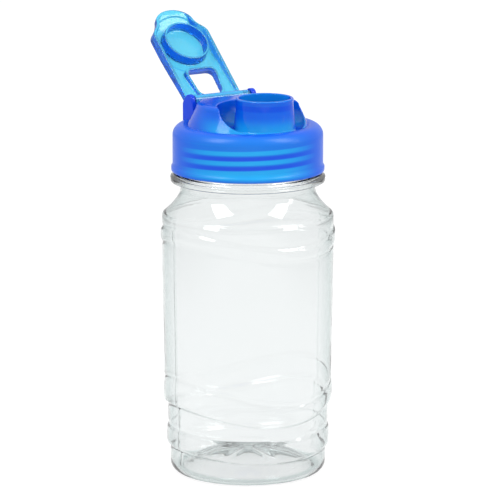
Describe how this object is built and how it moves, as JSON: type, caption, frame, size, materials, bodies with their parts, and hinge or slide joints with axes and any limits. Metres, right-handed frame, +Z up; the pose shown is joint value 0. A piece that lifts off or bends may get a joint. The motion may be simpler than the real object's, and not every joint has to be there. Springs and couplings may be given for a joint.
{
  "type": "sports drinking bottle",
  "caption": "Clear waisted drinking bottle with a blue screw cap, an off-centre spout and a hinged flip lid that is also a carry loop.",
  "frame": {"origin": "middle of the base, on the plane that the bottle stands on", "axes": "+Z up along the bottle's axis, -Y towards the spout, +Y towards the lid's hinge, X along the hinge"},
  "size_m": [0.0764, 0.1044, 0.1966],
  "materials": {
    "clear_plastic": "clear, colourless, blow-moulded, glossy",
    "seal_rubber": "soft, milky, matt",
    "cap_blue": "translucent blue, frosted skirt with a glossy spout and recess",
    "lid_blue": "translucent light blue, glossy"
  },
  "bodies": {
    "bottle": {"bottle": "clear_plastic"},
    "seal": {"seal_ring": "seal_rubber"},
    "cap": {"screw_cap": "cap_blue"},
    "lid": {"flip_lid": "lid_blue"}
  },
  "joints": [
    {"name": "cap_lift", "type": "slide", "parent": "bottle", "child": "seal", "axis": [0, 0, 1], "range_m": [0, 0.00741]},
    {"name": "cap_turn", "type": "hinge", "parent": "seal", "child": "cap", "pos_m": [0, 0, 0.1436], "axis": [0, 0, 1], "range_deg": [0, 630]},
    {"name": "lid_hinge", "type": "hinge", "parent": "cap", "child": "lid", "pos_m": [0, 0.022, 0.1625], "axis": [1, 0, 0], "range_deg": [0, 138]}
  ],
  "couplings": [
    {"joint": "cap_lift", "follows": "cap_turn", "m_per_rad": 0.00067323}
  ]
}
